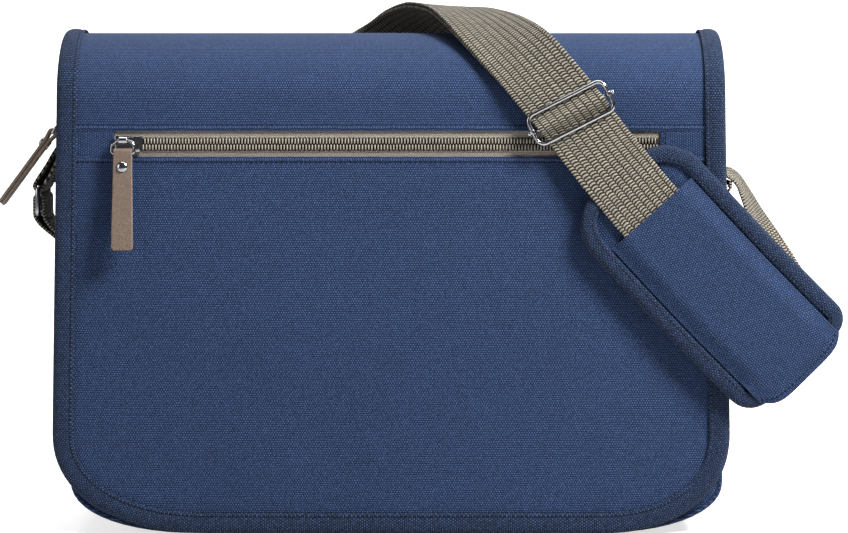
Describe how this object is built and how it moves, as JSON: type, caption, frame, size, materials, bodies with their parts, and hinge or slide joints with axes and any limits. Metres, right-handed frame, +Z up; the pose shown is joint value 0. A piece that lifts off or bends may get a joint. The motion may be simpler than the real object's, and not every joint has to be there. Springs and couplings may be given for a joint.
{
  "type": "shoulder bag",
  "caption": "Canvas messenger bag with a full flap, a zip pocket across the flap, a zipped main compartment and a padded webbing shoulder strap with a slider.",
  "frame": {"origin": "on the floor, at the middle of the flap's width and of the body's depth, on the flat base", "axes": "+X to the right seen from the front, -Y towards the front of the flap, +Z up"},
  "size_m": [0.4803, 0.1346, 0.303],
  "materials": {
    "canvas_blue": "plain weave canvas, matt",
    "binding_navy": "plain weave tape, matt",
    "webbing_taupe": "ribbed woven webbing",
    "zip_tape": "fine twill",
    "zip_coil": "satin",
    "metal": "bright plated wire and castings",
    "leather_taupe": "smooth, matt"
  },
  "bodies": {
    "bag": {"gusset": "canvas_blue", "front_panel": "canvas_blue", "back_panel": "canvas_blue", "top_strip_front": "canvas_blue", "top_strip_back": "canvas_blue", "flap_backing": "canvas_blue", "flap_top": "canvas_blue", "flap_pocket": "canvas_blue", "zip_end_left": "canvas_blue", "zip_end_right": "canvas_blue", "pad_base": "canvas_blue", "pad_cover": "canvas_blue", "flap_binding": "binding_navy", "pad_binding": "binding_navy", "strap": "webbing_taupe", "left_tab": "webbing_taupe", "right_tab": "webbing_taupe", "main_zip_tape": "zip_tape", "zip_tape_upper": "zip_tape", "zip_tape_lower": "zip_tape", "main_zip_coil": "zip_coil", "zip_coil": "zip_coil", "main_zip_slider": "metal", "zip_slider": "metal", "left_ring": "metal", "right_ring": "metal", "slider_frame": "metal", "slider_bar": "metal"},
    "front_pull": {"pull_ring": "metal", "pull_tab": "leather_taupe", "pull_rivet": "metal"},
    "side_pull": {"main_pull_ring": "metal", "main_pull_tab": "leather_taupe", "main_pull_rivet": "metal"}
  },
  "joints": [
    {"name": "front_pull_swing", "type": "hinge", "parent": "bag", "child": "front_pull", "pos_m": [-0.15056, -0.05688, 0.22376], "axis": [-1, 0, 0], "range_deg": [0, 150]},
    {"name": "side_pull_swing", "type": "hinge", "parent": "bag", "child": "side_pull", "pos_m": [-0.1904, -0.016, 0.233], "axis": [0, 1, 0], "range_deg": [0, 110]}
  ]
}
